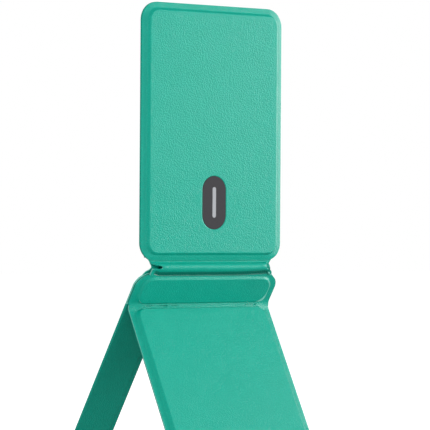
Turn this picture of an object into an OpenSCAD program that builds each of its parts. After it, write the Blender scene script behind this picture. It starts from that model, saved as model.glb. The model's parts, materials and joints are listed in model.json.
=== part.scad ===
// Magnetic card wallet that unfolds into a three-legged stand.
// Padded leather panels fold on leather hinges: an upright head with a ring of magnets and a card
// pocket, a shoulder that runs down into a pair of rear legs, and one wide front leg.
// The stand is shown unfolded on a flat surface, Z up, with its front facing -Y.

/* [Panels] */
// Width of every panel, side to side
panel_w = 61; // [58:0.5:66]
// Height of the upright head panel
head_h = 92; // [91:0.5:100]
// Radius of the outer corners
corner_r = 6.5; // [6:0.1:9]
// Length of the shoulder, from the leg crease to the neck
shoulder_h = 13.8; // [12:0.1:18]
// Width of the folded leather ridge at the neck, between its side slits
neck_w = 45.4; // [40:0.5:48]
// Width of the back leather at the neck
strap_w = 50.4; // [44:0.1:54]

/* [Stance] */
// Height of the leg crease above the surface
crease_z = 62.9; // [55:0.1:70]
// Lean of the front leg from upright, in degrees
front_lean = 30.8; // [24:0.1:34]
// Lean of the shoulder and rear legs from upright, in degrees
rear_lean = 35.6; // [30:0.1:40]

/* [Padding] */
// Width of the flat rim round each pad
rim_w = 2.1; // [1.5:0.1:3]
// Height of a pad above its rim
pad_rise = 1.2; // [1:0.1:1.6]
// Width of the rounded slope between rim and pad
slope_w = 0.8; // [0.5:0.1:1.2]

/* [Leather] */
// Thickness of the grained front leather
skin_t = 0.6; // [0.5:0.05:0.7]
// Thickness of the thin lining behind the front leg
leg_lining_t = 0.3; // [0.2:0.05:0.6]
// Thickness of the lining behind the head
head_lining_t = 0.7; // [0.5:0.05:0.9]
// Thickness of the leathers round the rear frame
frame_skin_t = 0.45; // [0.4:0.05:0.8]
// Thickness of the stiff board in the rear frame
frame_board_t = 0.4; // [0.3:0.05:0.8]

/* [Rear legs] */
// Width of the gap between the rear legs
slot_w = 28; // [20:0.5:32]
// Length of solid frame between the leg crease and the gap
bridge_h = 8; // [6:0.5:14]
// Width of the thin rim along the gap
slot_rim_w = 2.4; // [1.5:0.1:3]

/* [Card pocket] */
// Room for a card between lining and pocket wall
pocket_gap = 1; // [0.9:0.1:1.6]
// Thickness of the pocket wall
wall_t = 0.6; // [0.5:0.05:0.9]
// Clear width inside the pocket
pocket_w = 55.5; // [55:0.1:56]
// Width of the thumb notch in the pocket's mouth
notch_w = 16; // [12:0.5:17]

/* [Magnets] */
// Outer diameter of the magnet ring
ring_od = 55; // [54:0.1:56]
// Inner diameter of the magnet ring
ring_id = 46.5; // [45.5:0.1:47]
// Height of the ring's centre above the head's lower edge
ring_y = 61; // [60:0.1:61]
// Number of magnets in the ring
ring_count = 16; // [12:1:20]
// Length of the grip pad below the ring
pill_h = 19; // [16:0.5:20]
// Width of the grip pad
pill_w = 10; // [8:0.5:12]

/* [Hidden] */
$fn = 72;

leather = "#2bb096";
lining = "#1c8d77";
board = "#5b5d60";
steel = "#b9bdc2";
magnet = "#8d9196";
rubber = "#454346";
pale_line = "#b9c3cd";

half_w = panel_w / 2;
// Clearance so that neighbouring cuts and pockets open cleanly
over = 0.5;

// Depths below a panel's front surface, all negative
skin_back = -skin_t;
leg_back = skin_back - leg_lining_t;
leg_to_frame_gap = 0.1;
frame_front = leg_back - leg_to_frame_gap;
frame_board_front = frame_front - frame_skin_t;
frame_board_back = frame_board_front - frame_board_t;
frame_back = frame_board_back - frame_skin_t;
head_back = skin_back - head_lining_t;
wall_front = head_back - pocket_gap;
wall_back = wall_front - wall_t;
board_front = pad_rise - skin_t;

// Leg lengths that bring the lowest edge of each leg down to the surface
leg_len = (crease_z + leg_back * sin(front_lean)) / cos(front_lean);
frame_len = (crease_z - frame_front * sin(rear_lean)) / cos(rear_lean);

// The crease stands where the footprint is centred on Y = 0
foot_front = -leg_len * sin(front_lean);
foot_back = frame_len * sin(rear_lean) - frame_back * cos(rear_lean);
crease_y = -(foot_front + foot_back) / 2;

// Position of a point given up the shoulder and out from its front, seen from the side as [Y, Z]
function on_frame(up, out) = [
    crease_y - up * sin(rear_lean) - out * cos(rear_lean),
    crease_z + up * cos(rear_lean) - out * sin(rear_lean)
];

// The same for a point on the front leg, which is counted down from the crease as negative
function on_leg(up, out) = [
    crease_y + up * sin(front_lean) - out * cos(front_lean),
    crease_z + up * cos(front_lean) + out * sin(front_lean)
];

// The head stands straight above the shoulder's upper edge, with the folded neck between them
neck_h = 5.05;
head_front_y = on_frame(shoulder_h, 0).x;
head_z = on_frame(shoulder_h, 0).y + neck_h;

// Hinge line of the neck, the same distance behind the head's back and the frame's back, so that
// the head folds flat against the frame with the pocket between them
fold_gap = 0.3;
half_stack = (pocket_gap + wall_t + fold_gap) / 2;
neck_y = head_front_y - head_back + half_stack;
neck_out = frame_back - half_stack;
neck_up = (crease_y - neck_out * cos(rear_lean) - neck_y) / sin(rear_lean);
neck_z = on_frame(neck_up, neck_out).y;

// Half length of flat leather kept on each side of the leg crease
crease_land = 0.8;
// Where the pads next to the crease start
crease_pad = 1.1;
// Inset of a stiffening board behind its pad's outline
board_inset = rim_w + slope_w + 0.1;
frame_board_inset = 0.8;
slab_inset = 0.4;

// Small magnets that hold the folded panels together
disc_r = 2;
disc_t = 0.9;
disc_x = 24.5;
disc_frame_y = -67;
disc_head_y = neck_up - disc_frame_y - (head_z - neck_z);

// Steps in the rounded slope of a pad, as [distance in from the rim, rise]
slope_steps = 5;
slope = [for (i = [0 : slope_steps]) let (t = i / slope_steps)
    [slope_w * t, pad_rise * t * t * (3 - 2 * t)]];

// A panel is drawn flat: X across, Y up the panel and Z out of its front
module in_head() {
    translate([0, head_front_y, head_z]) rotate([90, 0, 0]) children();
}

module in_frame() {
    translate([0, crease_y, crease_z]) rotate([90 + rear_lean, 0, 0]) children();
}

module in_leg() {
    translate([0, crease_y, crease_z]) rotate([90 - front_lean, 0, 0]) children();
}

// Flat layer of leather or board between two depths
module layer(low, high) {
    translate([0, 0, low]) linear_extrude(high - low) children();
}

// Bar across the panels with a side-view outline given as [Y, Z]
module across(width) {
    translate([-width / 2, 0, 0]) rotate([90, 0, 90]) linear_extrude(width) children();
}

// One mirrored copy on each side
module both_sides() {
    children();
    mirror([1, 0, 0]) children();
}

// Rectangle with its own radius at each corner, counted from the lower left, anticlockwise
module round_rect(x0, x1, y0, y1, r) {
    polygon(concat(
        r[0] > 0 ? [[x0, y0 + r[0]], [x0 + r[0], y0]] : [[x0, y0]],
        r[1] > 0 ? [[x1 - r[1], y0], [x1, y0 + r[1]]] : [[x1, y0]],
        r[2] > 0 ? [[x1, y1 - r[2]], [x1 - r[2], y1]] : [[x1, y1]],
        r[3] > 0 ? [[x0 + r[3], y1], [x0, y1 - r[3]]] : [[x0, y1]]
    ));
    quarter_disc(x0 + r[0], y0 + r[0], 180, r[0]);
    quarter_disc(x1 - r[1], y0 + r[1], 270, r[1]);
    quarter_disc(x1 - r[2], y1 - r[2], 0, r[2]);
    quarter_disc(x0 + r[3], y1 - r[3], 90, r[3]);
}

module quarter_disc(x, y, turn, r) {
    if (r > 0) translate([x, y]) rotate(turn) intersection() {
        circle(r);
        square(r + over);
    }
}

// Quarter of a pad's corner, with its slope turned round the corner's centre
module pad_corner(x, y, turn, r) {
    translate([x, y, 0]) rotate([0, 0, turn]) rotate_extrude(angle = 90)
        polygon(concat([[0, 0]], [for (p = slope) [r - p.x, p.y]], [[0, pad_rise]]));
}

// Straight stretch of a pad's slope, run along +X from a point on the rim, with the pad on its left
module pad_side(x, y, turn, run, depth) {
    translate([x, y, 0]) rotate([0, 0, turn]) rotate([90, 0, 90]) linear_extrude(run)
        polygon(concat([[depth, 0]], slope, [[depth, pad_rise]]));
}

// Raised pad with rounded slopes all round and its own radius at each corner
module pad(x0, x1, y0, y1, r) {
    pad_corner(x0 + r[0], y0 + r[0], 180, r[0]);
    pad_corner(x1 - r[1], y0 + r[1], 270, r[1]);
    pad_corner(x1 - r[2], y1 - r[2], 0, r[2]);
    pad_corner(x0 + r[3], y1 - r[3], 90, r[3]);
    pad_side(x0 + r[0], y0, 0, x1 - x0 - r[0] - r[1], max(r[0], r[1]));
    pad_side(x1, y0 + r[1], 90, y1 - y0 - r[1] - r[2], max(r[1], r[2]));
    pad_side(x1 - r[2], y1, 180, x1 - x0 - r[2] - r[3], max(r[2], r[3]));
    pad_side(x0, y1 - r[3], 270, y1 - y0 - r[3] - r[0], max(r[3], r[0]));
    linear_extrude(pad_rise) polygon([
        [x0 + r[0], y0 + r[0]], [x1 - r[1], y0 + r[1]],
        [x1 - r[2], y1 - r[2]], [x0 + r[3], y1 - r[3]]
    ]);
}

// Head

module head_outline() {
    round_rect(-half_w, half_w, 0, head_h, corner_r * [1, 1, 1, 1]);
}

module head_board_outline() {
    r = corner_r - board_inset;
    round_rect(-half_w + board_inset, half_w - board_inset, board_inset, head_h - board_inset,
        r * [1, 1, 1, 1]);
}

// Obround centred on the grip pad
module pill_outline(width, height) {
    r = width / 2;
    translate([0, ring_y - 40]) round_rect(-r, r, -height / 2, height / 2, r * [1, 1, 1, 1]);
}

module ring_outline() {
    translate([0, ring_y]) difference() {
        circle(d = ring_od);
        circle(d = ring_id);
    }
}

// Magnets sit just under the front leather, with the steel plate behind the ring
ring_magnet_t = 0.6;
ring_plate_t = 0.3;
ring_back = board_front - ring_magnet_t;
plate_back = ring_back - ring_plate_t;

module head_front_skin() {
    color(leather) in_head() difference() {
        union() {
            layer(skin_back, 0) head_outline();
            pad(-half_w + rim_w, half_w - rim_w, rim_w, head_h - rim_w,
                (corner_r - rim_w) * [1, 1, 1, 1]);
        }
        layer(skin_back - over, board_front) head_board_outline();
        layer(board_front - over, pad_rise + over) pill_outline(pill_w, pill_h);
    }
}

module head_board() {
    color(board) in_head() difference() {
        layer(skin_back, board_front) head_board_outline();
        layer(plate_back, board_front + over) ring_outline();
        layer(ring_back, board_front + over) pill_outline(6, 16);
        layer(skin_back - over, skin_back + disc_t) head_disc_sites();
    }
}

module head_disc_sites() {
    both_sides() translate([disc_x, disc_head_y]) circle(disc_r);
}

module ring_magnets() {
    step = 360 / ring_count;
    // Angle left free between neighbouring magnets
    gap = 1;
    color(magnet) in_head() translate([0, ring_y, ring_back]) for (i = [0 : ring_count - 1])
        rotate([0, 0, i * step + gap / 2]) rotate_extrude(angle = step - gap)
            translate([ring_id / 2, 0]) square([(ring_od - ring_id) / 2, ring_magnet_t]);
}

module ring_backing_plate() {
    color(steel) in_head() layer(plate_back, ring_back) ring_outline();
}

module alignment_magnet() {
    color(magnet) in_head() layer(ring_back, board_front) pill_outline(6, 16);
}

// The grip pad is let into the leather, flush with the pad's face
line_w = 1.5;
line_h = 11;
line_y = ring_y - 40 - pill_h / 2 + 4.1;
line_t = 0.2;

module grip_line_outline() {
    r = line_w / 2;
    round_rect(-r, r, line_y, line_y + line_h, r * [1, 1, 1, 1]);
}

module grip_pad() {
    color(rubber) in_head() difference() {
        layer(board_front, pad_rise) pill_outline(pill_w, pill_h);
        layer(pad_rise - line_t, pad_rise + over) grip_line_outline();
    }
}

module grip_pad_line() {
    color(pale_line) in_head() layer(pad_rise - line_t, pad_rise) grip_line_outline();
}

module head_closing_magnets() {
    color(magnet) in_head() layer(skin_back, skin_back + disc_t) head_disc_sites();
}

module head_lining() {
    color(lining) in_head() layer(head_back, skin_back) head_outline();
}

// Card pocket on the back of the head, open at the top
pocket_inset = 1.25;
pocket_r = corner_r - pocket_inset;
pocket_floor_y = 4.25;
mouth_y = head_h - 2;
gusset_top_y = mouth_y - pocket_r;
notch_h = 9;

module pocket_outline() {
    round_rect(-half_w + pocket_inset, half_w - pocket_inset, pocket_inset, mouth_y,
        pocket_r * [1, 1, 1, 1]);
}

module left_gusset() {
    layer(wall_front, head_back) intersection() {
        pocket_outline();
        translate([-half_w, 0]) square([half_w - pocket_w / 2, gusset_top_y]);
    }
}

module pocket_left_gusset() {
    color(lining) in_head() left_gusset();
}

module pocket_right_gusset() {
    color(lining) in_head() mirror([1, 0, 0]) left_gusset();
}

module pocket_bottom_gusset() {
    color(lining) in_head() layer(wall_front, head_back)
        translate([-pocket_w / 2, pocket_inset]) square([pocket_w, pocket_floor_y - pocket_inset]);
}

module pocket_wall() {
    notch_r = notch_w / 2;
    color(leather) in_head() layer(wall_back, wall_front) difference() {
        pocket_outline();
        translate([0, mouth_y - notch_h + notch_r]) circle(notch_r);
        translate([-notch_r, mouth_y - notch_h + notch_r]) square([notch_w, notch_h]);
    }
}

// Neck, shown as it lies with the head upright: a valley under the head's lower edge, a rolled ridge,
// a groove under it and a rounded lip that runs into the shoulder

valley_r = 0.5;
valley_dip = 0.05;
ridge_r = 1.45;
groove_r = 0.45;
lip_r = 0.8;
// Directions in the side view, from the groove's centre to the ridge's and from the lip's to the groove's
ridge_turn = 93;
groove_turn = 160;

lip_c = on_frame(shoulder_h, -lip_r);
groove_c = lip_c + (lip_r + groove_r) * [cos(groove_turn), sin(groove_turn)];
ridge_c = groove_c + (groove_r + ridge_r) * [cos(ridge_turn), sin(ridge_turn)];
valley_c_y = head_front_y + valley_dip - valley_r;
valley_turn = acos((valley_c_y - ridge_c.x) / (valley_r + ridge_r));
valley_c = ridge_c + (valley_r + ridge_r) * [cos(valley_turn), sin(valley_turn)];

function arc(centre, r, from, to, steps = 10) =
    [for (i = [0 : steps]) let (a = from + (to - from) * i / steps)
        centre + r * [cos(a), sin(a)]];

// The profile at a depth below the leather's front surface, from the head down to the shoulder
function neck_path(depth) = concat(
    [[head_front_y + depth, head_z]],
    arc(valley_c, valley_r + depth, 0, valley_turn - 180, 6),
    arc(ridge_c, ridge_r - depth, valley_turn, 180 + ridge_turn, 12),
    arc(groove_c, groove_r + depth, ridge_turn, groove_turn - 180, 6),
    arc(lip_c, lip_r - depth, groove_turn, 180 + rear_lean, 4)
);

function reversed(path) = [for (i = [len(path) - 1 : -1 : 0]) path[i]];

module ridge_profile() {
    polygon(concat(neck_path(0), reversed(neck_path(skin_t))));
}

// Small round relief where each side slit ends
relief_r = 0.65;

module neck_ridge_skin() {
    color(leather) difference() {
        across(neck_w) ridge_profile();
        both_sides() translate([neck_w / 2, ridge_c.x, ridge_c.y])
            rotate([90, 0, 0]) cylinder(h = 2 * ridge_r + 2 * over, r = relief_r, center = true);
    }
}

module neck_back_strap() {
    color(lining) across(strap_w) polygon([
        [head_front_y - skin_back, head_z],
        on_frame(shoulder_h, frame_board_back),
        on_frame(shoulder_h, frame_back),
        [head_front_y - head_back, head_z]
    ]);
}

// Shoulder

shoulder_r = 6;

module shoulder_outline(inset) {
    r = shoulder_r - inset;
    round_rect(-half_w + inset, half_w - inset, crease_land, shoulder_h - inset, [0, 0, r, r]);
}

shoulder_pad_top = shoulder_h - 0.9;
shoulder_pad_r = [3, 3, 4.2, 4.2];

module shoulder_skin() {
    color(leather) in_frame() difference() {
        union() {
            layer(skin_back, 0) shoulder_outline(0);
            pad(-half_w + rim_w, half_w - rim_w, crease_pad, shoulder_pad_top, shoulder_pad_r);
        }
        shoulder_insert();
    }
}

// Raised part of the shoulder's board, which fills the pad
module shoulder_insert() {
    inset = slope_w + 0.1;
    x = half_w - rim_w - inset;
    layer(skin_back, board_front)
        round_rect(-x, x, crease_pad + inset, shoulder_pad_top - inset,
            shoulder_pad_r - inset * [1, 1, 1, 1]);
}

module shoulder_board() {
    color(board) in_frame() {
        shoulder_insert();
        layer(frame_board_front, skin_back) shoulder_outline(slab_inset);
    }
}

// Rear frame: one sheet that lies behind the shoulder and forks into the two rear legs

slot_r = 6;
foot_inner_r = 3;
// How far the rim along the gap reaches in under the lining
board_lap = 0.4;

// Outline of the rear frame, pulled in from its outer edge and from the edge of the gap
module frame_outline(edge_in, slot_in) {
    x = half_w - edge_in;
    slot_x = slot_w / 2 + slot_in;
    slot_top = -bridge_h + slot_in;
    r_top = shoulder_r - edge_in;
    r_out = corner_r - edge_in;
    r_in = max(foot_inner_r - slot_in, 1);
    r_slot = slot_r + slot_in;
    round_rect(-x, x, slot_top, shoulder_h - edge_in, [0, 0, r_top, r_top]);
    both_sides() {
        round_rect(slot_x, x, -frame_len + edge_in, slot_top + over, [r_in, r_out, 0, 0]);
        difference() {
            translate([slot_x - r_slot, slot_top - r_slot]) square(r_slot + over);
            translate([slot_x - r_slot, slot_top - r_slot]) circle(r_slot);
        }
    }
}

module below_shoulder() {
    translate([-panel_w, -2 * frame_len]) square([2 * panel_w, 2 * frame_len + crease_land]);
}

module rear_frame_lining() {
    color(lining) in_frame() {
        layer(frame_board_front, frame_front) intersection() {
            frame_outline(0, slot_rim_w);
            below_shoulder();
        }
        layer(frame_board_back, frame_board_front) difference() {
            frame_outline(0, 0);
            frame_outline(frame_board_inset, slot_rim_w + board_lap);
        }
    }
}

module frame_disc_sites() {
    both_sides() translate([disc_x, disc_frame_y]) circle(disc_r);
}

module rear_frame_board() {
    color(board) in_frame() layer(frame_board_back, frame_board_front) difference() {
        frame_outline(frame_board_inset, slot_rim_w + board_lap);
        frame_disc_sites();
    }
}

module rear_frame_back_skin() {
    color(leather) in_frame() layer(frame_back, frame_board_back) frame_outline(0, 0);
}

module rear_leg_magnets() {
    color(magnet) in_frame() layer(frame_board_back, frame_board_front) frame_disc_sites();
}

// Leather hinge of the front leg, bent round behind the crease
module leg_crease_skin() {
    c = [crease_y, crease_z];
    color(leather) across(panel_w) polygon(concat(
        [c, on_leg(-crease_land, 0), on_leg(-crease_land, skin_back)],
        arc(c, skin_t, -front_lean, rear_lean),
        [on_frame(crease_land, skin_back), on_frame(crease_land, 0)]
    ));
}

// Front leg

module leg_outline() {
    round_rect(-half_w, half_w, -leg_len, -crease_land, [corner_r, corner_r, 0, 0]);
}

leg_pad_r = [corner_r - rim_w, corner_r - rim_w, 4.2, 4.2];

module leg_board_outline() {
    inset = slope_w + 0.1;
    x = half_w - rim_w - inset;
    round_rect(-x, x, -leg_len + rim_w + inset, -crease_pad - inset,
        leg_pad_r - inset * [1, 1, 1, 1]);
}

module leg_disc_sites() {
    both_sides() translate([disc_x, disc_frame_y]) circle(disc_r);
}

module front_leg_skin() {
    color(leather) in_leg() difference() {
        union() {
            layer(skin_back, 0) leg_outline();
            pad(-half_w + rim_w, half_w - rim_w, -leg_len + rim_w, -crease_pad, leg_pad_r);
        }
        layer(skin_back - over, board_front) leg_board_outline();
    }
}

module front_leg_board() {
    color(board) in_leg() difference() {
        layer(skin_back, board_front) leg_board_outline();
        layer(skin_back - over, skin_back + disc_t) leg_disc_sites();
    }
}

module front_leg_lining() {
    color(lining) in_leg() layer(leg_back, skin_back) leg_outline();
}

module front_leg_magnets() {
    color(magnet) in_leg() layer(skin_back, skin_back + disc_t) leg_disc_sites();
}

head_front_skin();
head_board();
ring_magnets();
ring_backing_plate();
alignment_magnet();
grip_pad();
grip_pad_line();
head_closing_magnets();
head_lining();
pocket_left_gusset();
pocket_right_gusset();
pocket_bottom_gusset();
pocket_wall();
neck_ridge_skin();
neck_back_strap();
shoulder_skin();
shoulder_board();
rear_frame_lining();
rear_frame_board();
rear_frame_back_skin();
rear_leg_magnets();
leg_crease_skin();
front_leg_skin();
front_leg_board();
front_leg_lining();
front_leg_magnets();
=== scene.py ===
import json
import math

import bmesh
import bpy
from mathutils import Matrix, Vector, noise
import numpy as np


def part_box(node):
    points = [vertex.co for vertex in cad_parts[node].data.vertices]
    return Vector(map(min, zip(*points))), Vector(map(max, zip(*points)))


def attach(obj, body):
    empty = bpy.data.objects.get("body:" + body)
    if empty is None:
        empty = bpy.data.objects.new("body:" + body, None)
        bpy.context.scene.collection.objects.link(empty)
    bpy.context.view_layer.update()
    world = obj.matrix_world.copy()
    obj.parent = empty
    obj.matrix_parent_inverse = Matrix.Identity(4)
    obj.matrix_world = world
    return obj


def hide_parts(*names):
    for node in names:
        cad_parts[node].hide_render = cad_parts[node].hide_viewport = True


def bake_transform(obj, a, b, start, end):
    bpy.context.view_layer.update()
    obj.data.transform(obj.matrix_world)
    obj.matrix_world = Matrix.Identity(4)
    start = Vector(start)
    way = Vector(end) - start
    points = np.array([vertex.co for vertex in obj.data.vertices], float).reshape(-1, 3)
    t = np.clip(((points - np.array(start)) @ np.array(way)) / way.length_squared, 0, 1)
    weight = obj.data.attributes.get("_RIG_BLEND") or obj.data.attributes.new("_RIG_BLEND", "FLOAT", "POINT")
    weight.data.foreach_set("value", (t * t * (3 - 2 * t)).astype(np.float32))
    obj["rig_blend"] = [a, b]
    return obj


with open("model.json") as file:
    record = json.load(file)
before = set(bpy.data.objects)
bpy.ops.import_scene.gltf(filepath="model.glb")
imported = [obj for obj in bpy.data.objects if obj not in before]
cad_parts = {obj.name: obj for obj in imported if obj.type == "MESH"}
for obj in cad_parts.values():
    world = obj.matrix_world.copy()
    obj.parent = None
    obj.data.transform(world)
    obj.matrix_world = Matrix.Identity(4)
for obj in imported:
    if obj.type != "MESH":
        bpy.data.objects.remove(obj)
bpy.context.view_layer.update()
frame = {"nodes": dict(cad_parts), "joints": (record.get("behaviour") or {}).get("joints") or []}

mm = 0.001
touching = 1e-4  # millimetres between points that lie on one line

# How the panels stand, in millimetres and degrees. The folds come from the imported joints
joints = {joint["name"]: joint for joint in frame["joints"]}
headLow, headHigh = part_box("head_front_skin")
stance = {
    "halfWidth": headHigh.x / mm,
    "headHeight": (headHigh.z - headLow.z) / mm,
    "headZ": headLow.z / mm,
    "padRise": 1.2,
    "creaseY": joints["front_leg_fold"]["pos_m"][1] / mm,
    "creaseZ": joints["front_leg_fold"]["pos_m"][2] / mm,
    "frontLean": 30.8,
    "rearLean": 35.6,
    "shoulderHeight": 13.8,
    "skin": 0.6,
    "cornerRadius": 6.5,
}
stance["headY"] = headLow.y / mm + stance["padRise"]


# Places in the side view, (Y, Z), from lengths up and out along a panel that starts at the crease
def onPanel(lean, up, out):
    turn = math.radians(lean)
    return (
        stance["creaseY"] - up * math.sin(turn) - out * math.cos(turn),
        stance["creaseZ"] + up * math.cos(turn) - out * math.sin(turn),
    )


def onFrame(up, out):
    return onPanel(stance["rearLean"], up, out)


def onLeg(up, out):
    return onPanel(-stance["frontLean"], up, out)


# How far a point lies out in front of a panel's plane
def outOfPanel(lean, co):
    turn = math.radians(lean)
    return (stance["creaseY"] - co.y) * math.cos(turn) + (stance["creaseZ"] - co.z) * math.sin(turn)


def outwardFrom(lean):
    turn = math.radians(lean)
    return Vector((0, -math.cos(turn), -math.sin(turn)))


def panelPlace(y, z, lean):
    turn = Matrix.Rotation(math.radians(90 + lean), 4, "X")
    return Matrix.Translation((0, y, z)) @ turn


def smooth(t):
    t = max(0, min(1, t))
    return t * t * (3 - 2 * t)


def between(stops, value):
    for (low, first), (high, second) in zip(stops, stops[1:]):
        if value <= high:
            return first + (second - first) * max(0, value - low) / (high - low)
    return stops[-1][1]


def polar(centre, radius, angle):
    turn = math.radians(angle)
    return (centre[0] + radius * math.cos(turn), centre[1] + radius * math.sin(turn))


def arcPoints(centre, radius, start, end, steps):
    return [polar(centre, radius, start + (end - start) * i / steps) for i in range(steps + 1)]


headPlace = panelPlace(stance["headY"], stance["headZ"], 0)
framePlace = panelPlace(stance["creaseY"], stance["creaseZ"], stance["rearLean"])
legPlace = panelPlace(stance["creaseY"], stance["creaseZ"], -stance["frontLean"])
print("crease at", round(stance["creaseZ"], 2), "mm, head from", round(stance["headZ"], 2), "mm")


# Shader helpers

class Signal:
    def __init__(self, finish, socket):
        self.finish = finish
        self.socket = socket

    def combine(self, operation, first, second):
        return self.finish.node("ShaderNodeMath", {"operation": operation}, {0: first, 1: second})

    def __add__(self, other):
        return self.combine("ADD", self, other)

    def __radd__(self, other):
        return self.combine("ADD", other, self)

    def __sub__(self, other):
        return self.combine("SUBTRACT", self, other)

    def __rsub__(self, other):
        return self.combine("SUBTRACT", other, self)

    def __mul__(self, other):
        return self.combine("MULTIPLY", self, other)

    def __rmul__(self, other):
        return self.combine("MULTIPLY", other, self)


class Finish:
    def __init__(self, owner):
        self.owner = owner
        owner.use_nodes = True
        self.tree = owner.node_tree
        self.tree.nodes.clear()

    def node(self, kind, settings=None, inputs=None, out=0):
        made = self.tree.nodes.new(kind)
        for key, value in (settings or {}).items():
            setattr(made, key, value)
        for key, value in (inputs or {}).items():
            if isinstance(value, Signal):
                self.tree.links.new(value.socket, made.inputs[key])
            else:
                made.inputs[key].default_value = value
        return Signal(self, made.outputs[out])

    def close(self, shader, kind="ShaderNodeOutputMaterial"):
        output = self.tree.nodes.new(kind)
        self.tree.links.new(shader.socket, output.inputs["Surface"])
        return self.owner


def ramp(finish, value, low, high):
    return finish.node("ShaderNodeMapRange", {"interpolation_type": "SMOOTHSTEP"}, {
        "Value": value, "From Min": low, "From Max": high})


def mixColour(finish, factor, first, second):
    return finish.node("ShaderNodeMix", {"data_type": "RGBA"}, {
        "Factor": factor, 6: first, 7: second}, out=2)


def shade(colour, share):
    return tuple(min(1, c * share) for c in colour) + (1,)


# Finishes: sizes in millimetres, tones as shares of the colour. The painted shade tone darkens the leather in
# the groove under the neck ridge
leatherLook = {
    "grainSize": 0.46, "grainBump": 0.055, "wander": 0.6, "mottleSize": 5.0,
    "pebbleEdge": (0.15, 0.75), "toneSpan": (0.35, 1.1), "tone": 0.06, "paintedShadeTone": 0.42,
    "roughness": 0.34, "roughSpread": 0.08, "specular": 0.6,
}
liningLook = {**leatherLook, "roughness": 0.62, "specular": 0.25}
plainLook = {"detail": 4.0, "roughSpread": 0.1}


def leatherFinish(name, colour, look):
    skin = Finish(bpy.data.materials.new(name))
    place = skin.node("ShaderNodeTexCoord", out="Object")
    wobble = skin.node("ShaderNodeTexNoise", {}, {
        "Vector": place, "Scale": 0.5 / (look["grainSize"] * mm), "Detail": 2.0}, out="Color")
    bent = skin.node("ShaderNodeVectorMath", {"operation": "MULTIPLY_ADD"}, {
        0: wobble, 1: (look["wander"] * mm,) * 3, 2: place})
    cells = skin.node("ShaderNodeTexVoronoi", {}, {
        "Vector": bent, "Scale": 1 / (look["grainSize"] * mm), "Randomness": 0.9}, out="Distance")
    fine = skin.node("ShaderNodeTexNoise", {}, {
        "Vector": place, "Scale": 2.4 / (look["grainSize"] * mm), "Detail": 3.0}, out="Fac")
    mottle = skin.node("ShaderNodeTexNoise", {}, {
        "Vector": place, "Scale": 1 / (look["mottleSize"] * mm), "Detail": 2.0}, out="Fac")
    pebble = 1 - ramp(skin, cells, *look["pebbleEdge"])
    height = pebble * 0.75 + fine * 0.35
    tone = ramp(skin, pebble * 0.5 + fine * 0.3 + mottle * 0.6, *look["toneSpan"])
    grained = mixColour(skin, tone, shade(colour, 1 - look["tone"]), shade(colour, 1 + look["tone"]))
    # Painted shade: where the mesh's fold attribute marks the groove under the neck ridge, the colour is
    # darkened to stand for the shadow that falls there
    fold = skin.node("ShaderNodeAttribute", {
        "attribute_type": "GEOMETRY", "attribute_name": "fold"}, out="Fac")
    bump = skin.node("ShaderNodeBump", {}, {
        "Strength": 1.0, "Distance": look["grainBump"] * mm, "Height": height})
    shader = skin.node("ShaderNodeBsdfPrincipled", {}, {
        "Base Color": mixColour(skin, fold, grained, shade(colour, look["paintedShadeTone"])),
        "Roughness": look["roughness"] + (mottle - 0.5) * look["roughSpread"],
        "Normal": bump, "Specular IOR Level": look["specular"]})
    return skin.close(shader)


def plainFinish(name, colour, roughness, metallic=0.0, speckle=0.08, size=0.4, bumpHeight=0.01):
    skin = Finish(bpy.data.materials.new(name))
    place = skin.node("ShaderNodeTexCoord", out="Object")
    grain = skin.node("ShaderNodeTexNoise", {}, {
        "Vector": place, "Scale": 1 / (size * mm), "Detail": plainLook["detail"]}, out="Fac")
    bump = skin.node("ShaderNodeBump", {}, {
        "Strength": 1.0, "Distance": bumpHeight * mm, "Height": grain})
    shader = skin.node("ShaderNodeBsdfPrincipled", {}, {
        "Base Color": mixColour(skin, grain, shade(colour, 1 - speckle), shade(colour, 1 + speckle)),
        "Roughness": roughness + (grain - 0.5) * plainLook["roughSpread"],
        "Normal": bump, "Metallic": metallic})
    return skin.close(shader)


finishes = {
    "leather": leatherFinish("grained_leather", (0.001, 0.42, 0.305), leatherLook),
    # The lining's colour is the front leather's green made darker, as its faces show in shade: painted shade.
    # Its rougher, less shiny finish is its own
    "lining": leatherFinish("lining_leather", (0.001, 0.33, 0.24), liningLook),
    "cutEdge": plainFinish(
        "cut_leather_edge", (0.18, 0.6, 0.5), 0.75, speckle=0.25, size=0.3, bumpHeight=0.03),
    "board": plainFinish("fibre_board", (0.12, 0.12, 0.13), 0.8, size=0.8, bumpHeight=0.03),
    "magnet": plainFinish("nickel_plate", (0.55, 0.56, 0.58), 0.28, metallic=1.0, speckle=0.04),
    "steel": plainFinish("sheet_steel", (0.5, 0.5, 0.52), 0.4, metallic=1.0, speckle=0.06),
    "grip": plainFinish("grip_rubber", (0.036, 0.033, 0.04), 0.62, speckle=0.12, size=0.25, bumpHeight=0.012),
    "line": plainFinish("printed_line", (0.4, 0.41, 0.44), 0.6, speckle=0.05, size=0.3, bumpHeight=0.006),
}
print("finishes made:", len(finishes))


# Mesh helpers

# A flat face with its corners rounded, given as (X, Y, radius)
def roundedFace(corners, steps):
    bm = bmesh.new()
    verts = [bm.verts.new((x, y, 0)) for x, y, radius in corners]
    bm.faces.new(verts)
    for vert, (x, y, radius) in zip(verts, corners):
        if radius > 0:
            bmesh.ops.bevel(bm, geom=[vert], offset=radius, offset_type="OFFSET", affect="VERTICES",
                            segments=steps, profile=0.5, material=-1, clamp_overlap=False)
    bm.faces.ensure_lookup_table()
    return bm, bm.faces[0]


def joinInto(target, source, place=None):
    carrier = bpy.data.meshes.new("carrier")
    source.to_mesh(carrier)
    source.free()
    if place:
        carrier.transform(place)
    target.from_mesh(carrier)
    bpy.data.meshes.remove(carrier)


def insetFace(bm, face, thickness, depth):
    bmesh.ops.inset_region(bm, faces=[face], thickness=thickness, depth=depth,
                           use_boundary=True, use_even_offset=True)


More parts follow.
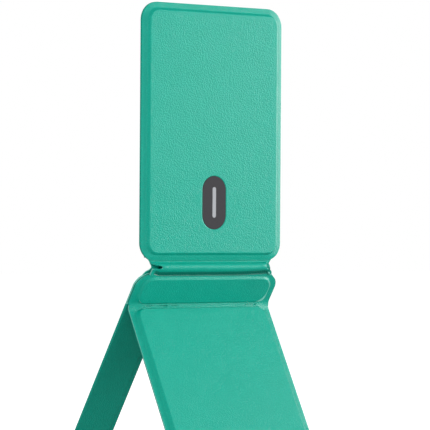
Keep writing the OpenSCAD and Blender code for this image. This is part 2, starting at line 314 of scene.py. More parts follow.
def roundEdges(bm, edges, radius):
    bmesh.ops.bevel(bm, geom=edges, offset=radius, offset_type="OFFSET", affect="EDGES",
                    segments=2, profile=0.5, material=-1, clamp_overlap=True)


def cutLevel(bm, place, across):
    bmesh.ops.bisect_plane(bm, geom=bm.verts[:] + bm.edges[:] + bm.faces[:], dist=touching,
                           plane_co=place, plane_no=across)


def fillBetween(bm, firstEdges, secondEdges):
    bmesh.ops.triangle_fill(bm, edges=firstEdges + secondEdges, use_beauty=True, normal=(0, 0, 1))


# The slope from a pad's rim up to its top, with a flat ring at its foot and inside its upper edge
padSlope = {"width": 1.1, "steps": 9, "support": 0.15, "topRing": 0.6, "arcSteps": 10}


def raisedPad(corners, height):
    bm, face = roundedFace(corners, padSlope["arcSteps"])
    insetFace(bm, face, padSlope["support"], 0)
    steps = padSlope["steps"]
    rise = [height * smooth(i / steps) for i in range(steps + 1)]
    for low, high in zip(rise, rise[1:]):
        insetFace(bm, face, padSlope["width"] / steps, high - low)
    insetFace(bm, face, padSlope["support"], 0)
    insetFace(bm, face, padSlope["topRing"], 0)
    return bm, face


# Moves points up or down a flat panel by stops of (height, shift)
def slideRows(bm, stops):
    for v in bm.verts:
        for (low, lowShift), (high, highShift) in zip(stops, stops[1:]):
            if low <= v.co.y <= high:
                v.co.y += lowShift + (highShift - lowShift) * (v.co.y - low) / (high - low)
                break


# Lowers a panel's rim towards its outer edge, where the leather is pressed and pared thin
def tiltRim(bm, tilt, centreX, centreLow, centreHigh, padRadius, rim):
    for v in bm.verts:
        if v.co.z > touching:
            continue
        x = max(abs(v.co.x) - centreX, 0)
        y = max(v.co.y - centreHigh, centreLow - v.co.y, 0)
        outside = math.hypot(x, y) - padRadius
        v.co.z -= tilt * max(0, min(1, outside / rim))


# A flat panel with narrow rings along its edge and a raised pad. The row that the next stretch of
# leather starts from is cut into columns, given as (low X, high X, level, count)
def paddedPanel(corners, padCorners, cutRow, edgeRings, hole=None, slides=(), rise=stance["padRise"]):
    bm = roundedFace(corners, padSlope["arcSteps"])[0]
    low, high, level, count = cutRow
    row = [e for e in bm.edges if all(
        abs(v.co.y - level) < touching and low - 1e-3 < v.co.x < high + 1e-3 for v in e.verts)]
    bmesh.ops.subdivide_edges(bm, edges=row, cuts=count - 1)
    bm.faces.ensure_lookup_table()
    face = bm.faces[0]
    for width in edgeRings:
        insetFace(bm, face, width, 0)
    bm.edges.index_update()
    inner = [e.index for e in face.edges]
    bmesh.ops.delete(bm, geom=[face], context="FACES_ONLY")
    base = len(bm.edges)
    padBm, top = raisedPad(padCorners, rise)
    slideRows(padBm, slides)
    if hole:
        padBm.edges.index_update()
        around = [e.index for e in top.edges]
        bmesh.ops.delete(padBm, geom=[top], context="FACES_ONLY")
        known = len(padBm.edges)
        joinInto(padBm, hole)
        padBm.edges.ensure_lookup_table()
        upper = [e for e in padBm.edges[known:] if e.is_boundary and e.verts[0].co.z > rise - 0.01]
        fillBetween(padBm, [padBm.edges[i] for i in around], upper)
    padBm.edges.index_update()
    outer = [e.index for e in padBm.edges if e.is_boundary and max(v.co.z for v in e.verts) < touching]
    joinInto(bm, padBm)
    bm.edges.ensure_lookup_table()
    fillBetween(bm, [bm.edges[i] for i in inner], [bm.edges[base + i] for i in outer])
    return bm


# Extrudes a row of edges through the points of a side view, given as (Y, Z)
def sweepRow(bm, edges, path):
    for (y0, z0), (y1, z1) in zip(path, path[1:]):
        made = bmesh.ops.extrude_edge_only(bm, edges=edges)["geom"]
        verts = [g for g in made if isinstance(g, bmesh.types.BMVert)]
        bmesh.ops.translate(bm, verts=verts, vec=(0, y1 - y0, z1 - z0))
        edges = [g for g in made if isinstance(g, bmesh.types.BMEdge) and all(v in verts for v in g.verts)]


def faceForward(bm):
    bmesh.ops.recalc_face_normals(bm, faces=bm.faces[:])
    largest = max(bm.faces, key=lambda f: f.calc_area())
    if largest.normal.y > 0:
        bmesh.ops.reverse_faces(bm, faces=bm.faces[:])


# Gives an open sheet its back, rounds its free edges and marks the cut faces
def thicken(bm, backOf, edgeRadius, keepSharp, cutFinish):
    bm.normal_update()
    frontVerts = set(bm.verts)
    backs = {v: backOf(v) for v in bm.verts}
    doubled = bmesh.ops.duplicate(bm, geom=bm.faces[:] + bm.edges[:] + bm.verts[:])
    twin = {v: doubled["vert_map"][v] for v in frontVerts}
    for v, back in twin.items():
        back.co = backs[v]
    backFaces = [g for g in doubled["geom"] if isinstance(g, bmesh.types.BMFace)]
    bmesh.ops.reverse_faces(bm, faces=backFaces)
    rim = [e for e in bm.edges if e.is_boundary and e.verts[0] in frontVerts and e.verts[1] in frontVerts]
    for edge in rim:
        a, b = edge.link_loops[0].vert, edge.link_loops[0].link_loop_next.vert
        side = bm.faces.new((b, a, twin[a], twin[b]))
        side.material_index = 1 if cutFinish(edge) else 0
    roundEdges(bm, [e for e in rim if not keepSharp(e)], edgeRadius)
    bm.normal_update()


# Angles between faces, from which an edge shows as sharp or is rounded, and a CAD copy's flat faces
meshLook = {
    "sharpAngle": 38, "roundAngle": 40, "flatAngle": 0.5, "merge": 0.002, "flatArea": 8, "paleTurn": 0.5,
}


def finishPiece(name, bm, materials, flatArea=math.inf):
    for face in bm.faces:
        face.smooth = face.calc_area() < flatArea
    for edge in bm.edges:
        if len(edge.link_faces) == 2 and edge.calc_face_angle() > math.radians(meshLook["sharpAngle"]):
            edge.smooth = False
    bmesh.ops.transform(bm, matrix=Matrix.Scale(mm, 4), verts=bm.verts[:])
    mesh = bpy.data.meshes.new(name)
    bm.to_mesh(mesh)
    bm.free()
    piece = bpy.data.objects.new(name, mesh)
    bpy.context.scene.collection.objects.link(piece)
    for material in materials:
        mesh.materials.append(material)
    return piece


# A copy of a CAD node with its loose triangles merged and its sharp edges softly rounded
def softenedCopy(name, node, radius, materials, paleAbove=None):
    bm = bmesh.new()
    bm.from_mesh(frame["nodes"][node].data)
    bmesh.ops.transform(bm, matrix=Matrix.Scale(1 / mm, 4), verts=bm.verts[:])
    bmesh.ops.remove_doubles(bm, verts=bm.verts[:], dist=meshLook["merge"])
    bmesh.ops.dissolve_limit(bm, angle_limit=math.radians(meshLook["flatAngle"]),
                             verts=bm.verts[:], edges=bm.edges[:])
    if paleAbove:
        cutLevel(bm, (0, 0, paleAbove), (0, 0, 1))
    least = math.radians(meshLook["roundAngle"])
    roundEdges(bm, [e for e in bm.edges if len(e.link_faces) == 2 and e.calc_face_angle() > least], radius)
    bm.normal_update()
    outward = outwardFrom(stance["rearLean"])
    for face in bm.faces:
        sideways = abs(face.normal.dot(outward)) < meshLook["paleTurn"]
        pale = paleAbove and face.calc_center_median().z > paleAbove and sideways
        face.material_index = 1 if pale else 0
    return finishPiece(name, bm, materials, meshLook["flatArea"])


# The crease between shoulder and leg: tight between the pads, wide along the rims

creaseFold = {
    "radius": 0.72, "rimRadius": 3.6, "rimStart": 25.6, "rimFull": 28.6, "rimBehind": 4,
    "land": 1.45, "landReach": 1.5, "soft": 0.3, "endShift": 0.4, "leftEnd": (10, 14), "rightEnd": (18, 8),
    "rows": (0.56, 0.9, 1.3, 1.7, 2.1, 2.5), "bendSteps": 12,
    "crinkle": 0.11, "crinkleSize": (0.5, 1.4), "fine": 0.05, "fineSize": (1.1, 2.4),
    "crinkleLow": (0.1, 0.4), "crinkleHigh": (0.42, 0.35), "crinkleSide": (26, 3),
}


# Cuts across a flat panel beside the crease, so that its rims can bend
def addFoldRows(bm, side):
    for level in creaseFold["rows"]:
        cutLevel(bm, (0, side * level, 0), (0, 1, 0))


def foldDepth(radius, level):
    half = math.radians((stance["frontLean"] + stance["rearLean"]) / 2)
    if abs(level) > radius * math.sin(half):
        return abs(level) * math.tan(half)
    return radius / math.cos(half) - math.sqrt(radius ** 2 - level ** 2)


def softLeast(first, second, soft):
    share = max(0, min(1, 0.5 + 0.5 * (second - first) / soft))
    return first * share + second * (1 - share) - soft * share * (1 - share)


# Fills the crease: along both rims the leather bends in a wide curve, between the pads it lies nearly level
def fillCrease(bm):
    fold = creaseFold
    leftStart, leftSpan = fold["leftEnd"]
    rightStart, rightSpan = fold["rightEnd"]
    for v in bm.verts:
        level = v.co.z - stance["creaseZ"]
        if abs(level) < fold["rimRadius"] and v.co.y > stance["creaseY"] - fold["rimBehind"]:
            share = smooth((abs(v.co.x) - fold["rimStart"]) / (fold["rimFull"] - fold["rimStart"]))
            rim = v.co.y - foldDepth(fold["rimRadius"], level) + foldDepth(fold["radius"], level)
            middle = v.co.y
            if abs(level) < fold["landReach"]:
                ends = smooth((-v.co.x - leftStart) / leftSpan) + smooth((v.co.x - rightStart) / rightSpan)
                land = stance["creaseY"] - fold["land"] + fold["endShift"] * ends
                middle = softLeast(v.co.y, land, fold["soft"])
            v.co.y = middle + (rim - middle) * share


# Small creases in the leather between the two pads
def crinkle(bm, path):
    fold = creaseFold
    lowGap, lowFade = fold["crinkleLow"]
    highGap, highFade = fold["crinkleHigh"]
    end, endFade = fold["crinkleSide"]
    lowZ = path[0][1] - lowGap
    highZ = path[-1][1] - highGap
    for v in bm.verts:
        if lowZ < v.co.z < highZ:
            share = smooth((v.co.z - lowZ) / lowFade) * smooth((highZ - v.co.z) / highFade)
            share *= 1 - smooth((abs(v.co.x) - end) / endFade)
            depth = 0
            for amount, (across, along), seed in (
                    (fold["crinkle"], fold["crinkleSize"], 3.1), (fold["fine"], fold["fineSize"], 7.7)):
                depth += amount * noise.noise((v.co.x * across, v.co.z * along, seed))
            v.co.y -= share * depth


# Head, neck and shoulder leather, one sheet

neck = {
    "halfWidth": 22.7, "columns": 90, "valleyRadius": 0.5, "valleyDip": 0.05, "ridgeRadius": 1.45,
    "grooveRadius": 0.45, "lipRadius": 0.8, "ridgeTurn": 93, "grooveTurn": 160,
    "underTurn": 232, "lipUp": 13.15, "lowLip": 0.45, "apex": 0.2,
    "valleySteps": 8, "ridgeSteps": 36, "underSteps": 5, "apexSteps": 5, "lipSteps": 6,
    # shadeFreeRows: the last rows on the shoulder's lip, which get no painted shade
    "cornerRows": 8, "shadeFreeRows": 3, "grooveFade": 0.7,
    "foldPush": 0.42, "foldAbove": 0.05, "foldReach": (1.9, 0.75), "foldFrom": 0.8, "foldFade": 0.5,
}
# The slit at each end of the ridge: half widths of the leather by the angle around the ridge
slit = {
    "inner": 16.0, "headCorner": 26.05, "shoulderCorner": 26.4, "grooveLeft": 24.5, "grooveRight": 24.6,
    "left": ((90, 25.95), (104, 25.7), (145, 24.9), (162, 23.8), (172, 22.8), (182, 22.35), (196, 22.25),
             (208, 22.5), (216, 23.1), (219, 24.2), (221, 26.4)),
    "right": ((90, 23.6), (160, 22.9), (199, 22.95), (215, 23.3), (232, 24.1)),
}
headPad = {
    "rim": 1.95, "rings": (0.25, 0.35, 0.45), "tilt": 0.3,
    "pillWidth": 10, "pillHeight": 19, "pillCentre": 21, "pillSteps": 14, "pillGap": 0.35, "pillFlat": 0.4,
    "pillEdge": ((0.12, -0.02), (0.1, -0.08), (0.05, -0.3)),
}
shoulderPad = {
    "rim": 1.95, "low": 1.05, "top": 0.85, "radius": 6, "rings": (0.02,), "rise": 0.72, "tilt": 0.12,
    "lowRadius": 4.0, "topRadius": 4.8, "rightRadius": 5.4, "rightRim": 0.4, "seam": 0.5,
    "slides": ((0.5, -0.35), (2.15, 0), (9, 0), (11.85, 0.3), (13.1, 0)),
    "lipDrop": 0.65, "lipLift": 0.5, "lipEnd": 22.9, "dropFade": 1.6, "liftFade": 3, "liftFrom": (10, 14),
}
# Where the upper sheet's parts begin, from the head's and the shoulder's edge, and its cut edges
upperSheet = {
    "headRow": 0.4, "shoulderRow": 0.64, "merge": 0.02, "headBack": 0.3, "seamBack": 0.25,
    "shoulderBack": 0.02, "rimBack": 0.95, "paleBelowHead": 1.6, "edgeRadius": 0.12,
}


# The side view of the neck from the head's edge to the shoulder, as (Y, Z, left and right half width),
# with the number of the point where it leaves the ridge
def neckPath():
    n = neck
    lip = onFrame(stance["shoulderHeight"], -n["lipRadius"])
    groove = polar(lip, n["lipRadius"] + n["grooveRadius"], n["grooveTurn"])
    ridge = polar(groove, n["grooveRadius"] + n["ridgeRadius"], n["ridgeTurn"])
    reach = n["valleyRadius"] + n["ridgeRadius"]
    valleyY = stance["headY"] + n["valleyDip"] - n["valleyRadius"]
    valleyTurn = math.degrees(math.acos((valleyY - ridge[0]) / reach))
    valley = (valleyY, ridge[1] + reach * math.sin(math.radians(valleyTurn)))

    # Under the ridge the leather runs straight until it bends round the shoulder's lip
    lowLip = onFrame(n["lipUp"], -n["lowLip"])
    under = polar(ridge, n["ridgeRadius"] + n["apex"], n["underTurn"])
    turn = math.radians(n["underTurn"])
    along = (-math.sin(turn), math.cos(turn))
    toLip = (lowLip[0] - under[0], lowLip[1] - under[1])
    middle = toLip[0] * along[0] + toLip[1] * along[1]
    spare = toLip[0] ** 2 + toLip[1] ** 2 - middle ** 2
    travel = middle - math.sqrt((n["lowLip"] + n["apex"]) ** 2 - spare)
    apex = (under[0] + travel * along[0], under[1] + travel * along[1])
    contact = math.degrees(math.atan2(apex[1] - lowLip[1], apex[0] - lowLip[0]))

    corner = slit["headCorner"]
    path = [(stance["headY"], stance["headZ"], corner, corner)]
    bend = arcPoints(valley, n["valleyRadius"], 0, valleyTurn - 180, n["valleySteps"])
    for i, point in enumerate(bend):
        share = (i + 1) / (n["valleySteps"] + 1)
        sides = [corner + (slit[side][0][1] - corner) * share for side in ("left", "right")]
        path.append((*point, *sides))
    bend = arcPoints(ridge, n["ridgeRadius"], valleyTurn, n["underTurn"], n["ridgeSteps"])
    for i, point in enumerate(bend[1:]):
        turn = valleyTurn + (n["underTurn"] - valleyTurn) * (i + 1) / n["ridgeSteps"]
        path.append((*point, between(slit["left"], turn), between(slit["right"], turn)))
    bend = arcPoints(apex, n["apex"], n["underTurn"] - 180, contact - 180, n["apexSteps"])
    y, z, _, low = path[-1]
    lower = [(y + (bend[0][0] - y) * i / n["underSteps"], z + (bend[0][1] - z) * i / n["underSteps"])
             for i in range(1, n["underSteps"])]
    lower += bend + arcPoints(lowLip, n["lowLip"], contact, 180 + stance["rearLean"], n["lipSteps"])[1:]
    for i, point in enumerate(lower):
        share = min(1, i / n["cornerRows"])
        path.append((*point, slit["shoulderCorner"], low + (slit["shoulderCorner"] - low) * share))
    return path, len(path) - len(lower)


# The opening in the head's leather for the grip pad, with a turned-in edge
def pillHole():
    side = headPad["pillGap"] + headPad["pillFlat"]
    half = headPad["pillWidth"] / 2 + side
    tall = headPad["pillHeight"] / 2 + side
    y = headPad["pillCentre"]
    radius = half - 0.01
    bm, face = roundedFace([(-half, y - tall, radius), (half, y - tall, radius),
                            (half, y + tall, radius), (-half, y + tall, radius)], headPad["pillSteps"])
    bmesh.ops.translate(bm, verts=bm.verts[:], vec=(0, 0, stance["padRise"]))
    insetFace(bm, face, headPad["pillFlat"], 0)
    for width, depth in headPad["pillEdge"]:
        insetFace(bm, face, width, depth)
    bmesh.ops.delete(bm, geom=[face], context="FACES_ONLY")
    return bm


# Lays rows of leather along the neck's side view, from the head's lower edge to the shoulder's upper one, and
# marks the groove rows under the ridge for painted shade
def sweepNeck(bm, headRow, shoulderRow, path, straightFrom):
    heads = sorted({v for e in headRow for v in e.verts}, key=lambda v: v.co.x)
    starts = [v.co.copy() for v in heads]
    ends = sorted({tuple(v.co) for e in shoulderRow for v in e.verts})
    lengths = [0]
    for (y0, z0, *_), (y1, z1, *_) in zip(path, path[1:]):
        lengths.append(lengths[-1] + math.hypot(y1 - y0, z1 - z0))
    first, last = path[0], path[-1]
    fold = bm.verts.layers.float["fold"]
    lipY, lipZ = path[straightFrom][:2]
    edges = headRow
    for row, ((y, z, left, right), length) in enumerate(zip(path[1:], lengths[1:]), 1):
        share = length / lengths[-1]
        onward = max(0, (length - lengths[straightFrom]) / (lengths[-1] - lengths[straightFrom]))
        flatY, flatZ = lipY + (last[0] - lipY) * onward, lipZ + (last[1] - lipZ) * onward
        made = bmesh.ops.extrude_edge_only(bm, edges=edges)["geom"]
        verts = {g for g in made if isinstance(g, bmesh.types.BMVert)}
        edges = [g for g in made if isinstance(g, bmesh.types.BMEdge) and all(v in verts for v in g.verts)]
        for v, start, goal in zip(sorted(verts, key=lambda v: v.co.x), starts, ends):
            x = start.x + (goal[0] - start.x) * share
            edge = starts[-1].x + (ends[-1][0] - starts[-1].x) * share
            if abs(x) > slit["inner"]:
                half = right if x > 0 else left
                reach = (half - slit["inner"]) / (edge - slit["inner"])
                x = math.copysign(slit["inner"] + (abs(x) - slit["inner"]) * reach, x)
            fromHead = (1 - share) * (start.y - first[0]), (1 - share) * (start.z - first[1])
            fromShoulder = share * (goal[1] - last[0]), share * (goal[2] - last[1])
            end = slit["grooveRight"] if x > 0 else slit["grooveLeft"]
            flat = smooth((abs(x) - end) / neck["grooveFade"]) if onward > 0 else 0
            # Painted shade: the fold attribute is 1 in the groove under the ridge, fading towards the slits
            # and short of the lip's last rows, and darkens the leather's colour there
            v[fold] = 1 - flat if straightFrom < row < len(path) - neck["shadeFreeRows"] else 0
            v.co = (x, y + (flatY - y) * flat + fromHead[0] + fromShoulder[0],
                    z + (flatZ - z) * flat + fromHead[1] + fromShoulder[1])


# Presses the head's lower rim back towards the fold
def pressFold(bm):
    level = stance["headZ"] + neck["foldAbove"]
    above, below = neck["foldReach"]
    for v in bm.verts:
        away = (v.co.z - level) / above if v.co.z > level else (level - v.co.z) / below
        front = smooth((v.co.y - stance["headY"] + neck["foldFrom"]) / neck["foldFade"])
        v.co.y += neck["foldPush"] * (1 - smooth(away)) * front


def headPanel():
    w, h, r = stance["halfWidth"], stance["headHeight"], stance["cornerRadius"]
    n = neck["halfWidth"]
    inset = headPad["rim"] - padSlope["support"]
    padRadius = r - inset
    panel = paddedPanel(
        [(-w, 0, r), (-n, 0, 0), (n, 0, 0), (w, 0, r), (w, h, r), (-w, h, r)],
        [(-w + inset, inset, padRadius), (w - inset, inset, padRadius),
         (w - inset, h - inset, padRadius), (-w + inset, h - inset, padRadius)],
        (-n, n, 0, neck["columns"]), headPad["rings"], pillHole())
    tiltRim(panel, headPad["tilt"], w - r, r, h - r, r - headPad["rim"], headPad["rim"])
    return panel


def shoulderPanel():
    s = shoulderPad
    w, n = stance["halfWidth"], neck["halfWidth"]
    low, top, radius = s["seam"], stance["shoulderHeight"], s["radius"]
    inset = s["rim"] - padSlope["support"]
    right = inset + s["rightRim"]
    padLow = s["low"] - padSlope["support"]
    padTop = top - s["top"] + padSlope["support"]
    panel = paddedPanel(
        [(-w, low, 0), (w, low, 0), (w, top, radius), (n, top, 0), (-n, top, 0), (-w, top, radius)],
        [(-w + inset, padLow, s["lowRadius"]), (w - right, padLow, s["rightRadius"]),
         (w - right, padTop, s["rightRadius"]), (-w + inset, padTop, s["topRadius"])],
        (-n, n, top, neck["columns"]), s["rings"], slides=s["slides"], rise=s["rise"])
    liftStart, liftSpan = s["liftFrom"]
    for v in panel.verts:
        if v.co.y > top - 0.05:
            v.co.y -= s["lipDrop"] * (1 - smooth((abs(v.co.x) - s["lipEnd"]) / s["dropFade"]))
            lift = smooth((v.co.x - liftStart) / liftSpan)
            v.co.y += s["lipLift"] * lift * (1 - smooth((v.co.x - s["lipEnd"]) / s["liftFade"]))
    tiltRim(panel, s["tilt"], w - radius, 0, top - radius, radius - s["rim"], s["rim"])
    addFoldRows(panel, 1)
    return panel


def makeUpperLeather():
    u = upperSheet
    bm = bmesh.new()
    # The fold layer says where the leather's colour gets painted shade
    bm.verts.layers.float.new("fold")
    joinInto(bm, headPanel(), headPlace)
    joinInto(bm, shoulderPanel(), framePlace)
    path, straightFrom = neckPath()
    corner = slit["shoulderCorner"] + 0.05
    edgeZ = onFrame(stance["shoulderHeight"], 0)[1]
    rim = [e for e in bm.edges if e.is_boundary and all(abs(v.co.x) < corner for v in e.verts)]
    headRow = [e for e in rim if all(abs(v.co.z - stance["headZ"]) < u["headRow"] for v in e.verts)]
    shoulderRow = [e for e in rim if all(abs(v.co.z - edgeZ) < u["shoulderRow"] for v in e.verts)]
    sweepNeck(bm, headRow, shoulderRow, path, straightFrom)
    bmesh.ops.remove_doubles(bm, verts=bm.verts[:], dist=u["merge"])
    pressFold(bm)
    fillCrease(bm)
    faceForward(bm)
    seam = onFrame(shoulderPad["seam"], 0)[1] + u["seamBack"]
    outward = outwardFrom(stance["rearLean"])

    def backOf(v):
        back = v.co - v.normal * stance["skin"]
        if v.co.z > stance["headZ"] + u["headBack"]:
            back.y = min(back.y, stance["headY"] + stance["skin"])
        elif v.co.z < edgeZ - u["shoulderBack"]:
            if v.is_boundary and v.co.z > seam:
                return v.co - outward * (outOfPanel(stance["rearLean"], v.co) + u["rimBack"])
            back += outward * max(0, -stance["skin"] - outOfPanel(stance["rearLean"], back))
        return back

    def atSeam(edge):
        return all(v.co.z < seam for v in edge.verts)

    def cutPale(edge):
        return edgeZ < max(v.co.z for v in edge.verts) < stance["headZ"] - u["paleBelowHead"]

    thicken(bm, backOf, u["edgeRadius"], atSeam, cutPale)
    piece = finishPiece("front_leather_upper", bm, [finishes["leather"], finishes["cutEdge"]])
    start, end = path[-1], path[0]
    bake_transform(piece, "stand", "head",
             start=(0, start[0] * mm, start[1] * mm), end=(0, end[0] * mm, end[1] * mm))
    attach(piece, "stand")
    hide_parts("head_front_skin", "neck_ridge_skin", "shoulder_skin")
    print("front leather of head, neck and shoulder:", len(piece.data.polygons), "faces")


makeUpperLeather()


# Crease and front leg leather, one sheet

legPad = {
    "rim": 1.95, "top": 1.05, "lowRadius": 4.5, "topRadius": 4.3, "columns": 122, "land": 0.8,
    "rings": (0.02,), "tilt": 0.16, "slides": ((-7, 0), (-2.15, 0.5), (-0.5, 0)), "footThickness": 0.9,
}
# How the sheet starts behind the shoulder's edge, as (below the seam, above it, out)
legSheet = {
    "rowZ": 0.15, "rowY": 0.2, "merge": 0.005, "tuck": (0.06, 0.12, -0.03), "seam": 0.02, "edgeRadius": 0.12,
}


def legPanel():
    w, r = stance["halfWidth"], stance["cornerRadius"]
    lean = math.radians(stance["frontLean"])
    length = (stance["creaseZ"] - legPad["footThickness"] * math.sin(lean)) / math.cos(lean)
    land = legPad["land"]
    inset = legPad["rim"] - padSlope["support"]
    padLow = -length + inset
    padTop = padSlope["support"] - legPad["top"]
    panel = paddedPanel(
        [(-w, -length, r), (w, -length, r), (w, -land, 0), (-w, -land, 0)],
        [(-w + inset, padLow, legPad["lowRadius"]), (w - inset, padLow, legPad["lowRadius"]),
         (w - inset, padTop, legPad["topRadius"]), (-w + inset, padTop, legPad["topRadius"])],
        (-w, w, -land, legPad["columns"]), legPad["rings"], slides=legPad["slides"])
    tiltRim(panel, legPad["tilt"], w - r, r - length, 0, r - legPad["rim"], legPad["rim"])
    addFoldRows(panel, -1)
    return panel


def makeLegLeather():
    bm = bmesh.new()
    joinInto(bm, legPanel(), legPlace)
    radius = creaseFold["radius"]
    turn = stance["frontLean"] + stance["rearLean"]
    centre = onLeg(-radius * math.tan(math.radians(turn / 2)), radius)
    bend = arcPoints(centre, radius, -stance["frontLean"], stance["rearLean"], creaseFold["bendSteps"])
    below, above, out = legSheet["tuck"]
    seam = shoulderPad["seam"]
    path = [onLeg(-legPad["land"], 0)] + bend + [onFrame(seam - below, 0), onFrame(seam + above, out)]
    y, z = path[0]
    row = [e for e in bm.edges if e.is_boundary and all(
        abs(v.co.z - z) < legSheet["rowZ"] and abs(v.co.y - y) < legSheet["rowY"] for v in e.verts)]
    sweepRow(bm, row, path)
    bmesh.ops.remove_doubles(bm, verts=bm.verts[:], dist=legSheet["merge"])
    fillCrease(bm)
    faceForward(bm)
    crinkle(bm, path)
    bm.normal_update()
    outward = outwardFrom(-stance["frontLean"])
    seamZ = path[-1][1] - legSheet["seam"]

    def backOf(v):
        back = v.co - v.normal * stance["skin"]
        if v.co.z < z:
            back += outward * max(0, -stance["skin"] - outOfPanel(-stance["frontLean"], back))
        return back

    def atSeam(edge):
        return all(v.co.z > seamZ for v in edge.verts)

    thicken(bm, backOf, legSheet["edgeRadius"], atSeam, lambda edge: True)
    piece = finishPiece("front_leather_leg", bm, [finishes["leather"], finishes["cutEdge"]])
    start, end = path[-1], path[0]
    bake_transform(piece, "stand", "front_leg",
             start=(0, start[0] * mm, start[1] * mm), end=(0, end[0] * mm, end[1] * mm))
    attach(piece, "stand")
    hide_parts("leg_crease_skin", "front_leg_skin")
    print("front leather of crease and leg:", len(piece.data.polygons), "faces")


makeLegLeather()


# Linings, pocket and rear frame, each with its edge radius. The stand's show a pale cut edge at the shoulder

softened = [
    ("head_lining_leather", "head_lining", "head", "lining", 0.15),
    ("pocket_gusset_left", "pocket_left_gusset", "head", "lining", 0.12),
    ("pocket_gusset_right", "pocket_right_gusset", "head", "lining", 0.12),
    ("pocket_gusset_bottom", "pocket_bottom_gusset", "head", "lining", 0.12),
    ("pocket_wall_leather", "pocket_wall", "head", "leather", 0.18),
    ("rear_frame_inner_leather", "rear_frame_lining", "stand", "lining", 0.25),
    ("rear_frame_outer_leather", "rear_frame_back_skin", "stand", "leather", 0.15),
    ("leg_lining_leather", "front_leg_lining", "front_leg", "lining", 0.1),
]
for name, node, body, look, radius in softened:
    paleAbove = stance["creaseZ"] + 1 if body == "stand" else None
    piece = softenedCopy(name, node, radius, [finishes[look], finishes["cutEdge"]], paleAbove)
    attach(piece, body)
    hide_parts(node)
    print(name, len(piece.data.polygons), "faces")


# The back leather at the neck: half widths by height above the crease, wider behind shoulder and head
strap = {
    "columns": 60, "rows": 26, "thickness": 0.34, "edgeRadius": 0.08,
    "out": -2.075, "lowUp": 11.4, "behindHead": 0.95, "topUp": 1.25,
    "lip": 1.15, "lipFrom": (21.5, 1.5), "lipHeight": (13.95, 1.7),
    "waist": ((9.8, 28.4), (11.6, 28.2), (12.5, 27.6), (13.2, 26.5), (14.1, 25.9),
              (15.1, 25.8), (16.0, 26.2), (16.9, 26.9), (18.0, 26.9)),
}


def makeNeckStrap():
    behindHead = stance["headY"] + strap["behindHead"]
    foot = onFrame(strap["lowUp"], strap["out"])
    low = onFrame(stance["shoulderHeight"], strap["out"])
    path = [foot, onFrame((strap["lowUp"] + stance["shoulderHeight"]) / 2, strap["out"]), low]
    for i in range(1, strap["rows"] + 1):
        share = i / strap["rows"]
        path.append((low[0] + (behindHead - low[0]) * smooth(share),
                     low[1] + (stance["headZ"] - low[1]) * share))
    path.append((behindHead, stance["headZ"] + strap["topUp"] / 2))
    path.append((behindHead, stance["headZ"] + strap["topUp"]))
    bm = bmesh.new()
    half = between(strap["waist"], foot[1] - stance["creaseZ"])
    edge = bm.edges.new([bm.verts.new((side * half, foot[0], foot[1])) for side in (-1, 1)])
    bmesh.ops.subdivide_edges(bm, edges=[edge], cuts=strap["columns"] - 1)
    sweepRow(bm, bm.edges[:], path)
    lipStart, lipSpan = strap["lipFrom"]
    lipHeight, lipReach = strap["lipHeight"]
    for v in bm.verts:
        height = v.co.z - stance["creaseZ"]
        v.co.x *= between(strap["waist"], height) / half
        outer = smooth((abs(v.co.x) - lipStart) / lipSpan)
        v.co.y -= strap["lip"] * outer * (1 - smooth(abs(height - lipHeight) / lipReach))
    faceForward(bm)
    bm.normal_update()
    for v in bm.verts:
        v.co += v.normal * strap["thickness"] / 2

    def backOf(v):
        return v.co - v.normal * strap["thickness"]

    thicken(bm, backOf, strap["edgeRadius"], lambda edge: False, lambda edge: True)
    piece = finishPiece("neck_back_leather", bm, [finishes["lining"], finishes["cutEdge"]])
    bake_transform(piece, "stand", "head", start=(0, low[0] * mm, low[1] * mm),
             end=(0, behindHead * mm, stance["headZ"] * mm))
    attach(piece, "stand")
    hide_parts("neck_back_strap")
    print("neck strap:", len(piece.data.polygons), "faces")


makeNeckStrap()

# The solids keep their shape. Those that leather pieces replace get a finish too
nodeFinish = {
    "cutEdge": ["shoulder_board"],
    "board": ["head_board", "rear_frame_board", "front_leg_board"],
    "magnet": ["ring_magnets", "alignment_magnet", "head_closing_magnets", "rear_leg_magnets",
               "front_leg_magnets"],
    "steel": ["ring_backing_plate"],
    "grip": ["grip_pad"],
    "line": ["grip_pad_line"],
    "leather": ["head_front_skin", "neck_ridge_skin", "shoulder_skin", "leg_crease_skin", "front_leg_skin",
                "pocket_wall", "rear_frame_back_skin"],
    "lining": ["head_lining", "pocket_left_gusset", "pocket_right_gusset", "pocket_bottom_gusset",
               "neck_back_strap", "rear_frame_lining", "front_leg_lining"],
}
for look, nodes in nodeFinish.items():
    for node in nodes:
        mesh = frame["nodes"][node].data
        mesh.materials.clear()
        mesh.materials.append(finishes[look])
print("finishes on", sum(len(nodes) for nodes in nodeFinish.values()), "solids")


# Floor, light and camera

stage = {"size": 6.0, "colour": (0.7, 0.7, 0.7, 1), "glow": 0.75, "mirrored": 0.06, "ambient": 0.46}
white = (1, 1, 1, 1)


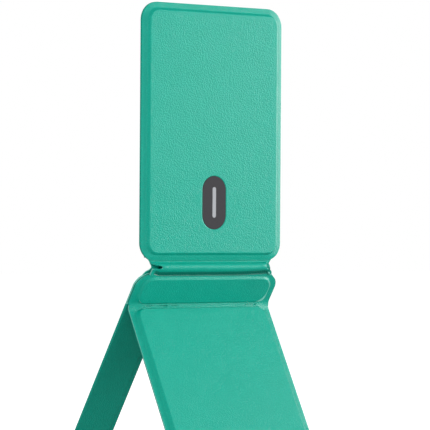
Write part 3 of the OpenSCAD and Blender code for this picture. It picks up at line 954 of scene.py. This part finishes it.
def makeFloor():
    look = Finish(bpy.data.materials.new("pale_floor"))
    camera = look.node("ShaderNodeLightPath", out="Is Camera Ray")
    glossy = look.node("ShaderNodeLightPath", out="Is Glossy Ray")
    through = look.node("ShaderNodeLightPath", out="Is Transmission Ray")
    lit = look.node("ShaderNodeBsdfDiffuse", {}, {"Color": stage["colour"]})
    glow = look.node("ShaderNodeEmission", {}, {
        "Color": white, "Strength": (camera + through) * stage["glow"]})
    seen = look.node("ShaderNodeAddShader", {}, {0: lit, 1: glow})
    dim = look.node("ShaderNodeEmission", {}, {"Color": white, "Strength": stage["mirrored"]})
    both = look.node("ShaderNodeMixShader", {}, {0: glossy, 1: seen, 2: dim})
    bm = bmesh.new()
    bmesh.ops.create_grid(bm, x_segments=1, y_segments=1, size=stage["size"] / 2)
    mesh = bpy.data.meshes.new("floor")
    bm.to_mesh(mesh)
    bm.free()
    mesh.materials.append(look.close(both))
    floor = bpy.data.objects.new("floor", mesh)
    bpy.context.scene.collection.objects.link(floor)


# White for the camera, dimmer as light on the object, nearly dark in its reflections
def makeWorld():
    world = bpy.data.worlds.new("studio")
    bpy.context.scene.world = world
    look = Finish(world)
    camera = look.node("ShaderNodeLightPath", out="Is Camera Ray")
    through = look.node("ShaderNodeLightPath", out="Is Transmission Ray")
    glossy = look.node("ShaderNodeLightPath", out="Is Glossy Ray")
    strength = (camera + through) * (1 - stage["ambient"]) + stage["ambient"]
    strength = strength - glossy * (stage["ambient"] - stage["mirrored"])
    light = look.node("ShaderNodeBackground", {}, {"Color": white, "Strength": strength})
    look.close(light, "ShaderNodeOutputWorld")


# Angles in degrees from the front, towards the right, and up; metres and watts
lamps = {
    "key": {"azimuth": 68, "elevation": 9, "distance": 1.1, "size": 0.7, "watts": 11.0, "sheen": True},
    "front": {"azimuth": 0, "elevation": 18, "distance": 1.3, "size": 0.8, "watts": 2.2, "sheen": False},
    "fill": {"azimuth": -50, "elevation": 14, "distance": 1.3, "size": 0.8, "watts": 6.5, "sheen": False},
}
lampAim = Vector((0, 0, 0.08))


def makeLamps():
    for name, lamp in lamps.items():
        light = bpy.data.lights.new(name, "AREA")
        light.energy = lamp["watts"]
        light.size = lamp["size"]
        turn, rise = math.radians(lamp["azimuth"]), math.radians(lamp["elevation"])
        away = Vector((math.sin(turn) * math.cos(rise), -math.cos(turn) * math.cos(rise), math.sin(rise)))
        holder = bpy.data.objects.new(name, light)
        holder.location = lampAim + away * lamp["distance"]
        holder.rotation_euler = away.to_track_quat("Z", "Y").to_euler()
        holder.visible_glossy = lamp["sheen"]
        bpy.context.scene.collection.objects.link(holder)


# The photograph's view: degrees to the left of the front, millimetres away, pixels to a millimetre at the
# head's lower edge, where that edge's middle and the horizon lie in the frame, and the frame's side
view = {
    "turn": 34.57, "distance": 882.0, "scale": 2.779, "column": 212.25, "row": 261.04,
    "horizon": 223.4, "roll": 0.38, "frame": 430, "sensor": 36,
}


def makeCamera():
    lens = bpy.data.cameras.new("photograph")
    side = view["frame"]
    lens.sensor_width = view["sensor"]
    lens.lens = view["scale"] * view["distance"] / side * view["sensor"]
    lens.shift_x = (side / 2 - view["column"]) / side
    lens.shift_y = (view["horizon"] - side / 2) / side
    lens.clip_start = 0.05
    turn = math.radians(view["turn"])
    forward = Vector((math.sin(turn), math.cos(turn), 0))
    place = Vector((0, stance["headY"], stance["headZ"])) - forward * view["distance"]
    place.z += (view["row"] - view["horizon"]) / view["scale"]
    camera = bpy.data.objects.new("photograph", lens)
    aim = Matrix.Rotation(-turn, 4, "Z") @ Matrix.Rotation(math.radians(90), 4, "X")
    aim = aim @ Matrix.Rotation(math.radians(view["roll"]), 4, "Z")
    camera.matrix_world = Matrix.Translation(place * mm) @ aim
    bpy.context.scene.collection.objects.link(camera)
    bpy.context.scene.camera = camera


makeFloor()
makeWorld()
makeLamps()
makeCamera()
bpy.context.scene.view_settings.view_transform = "Standard"
print("stage, lamps and camera placed")
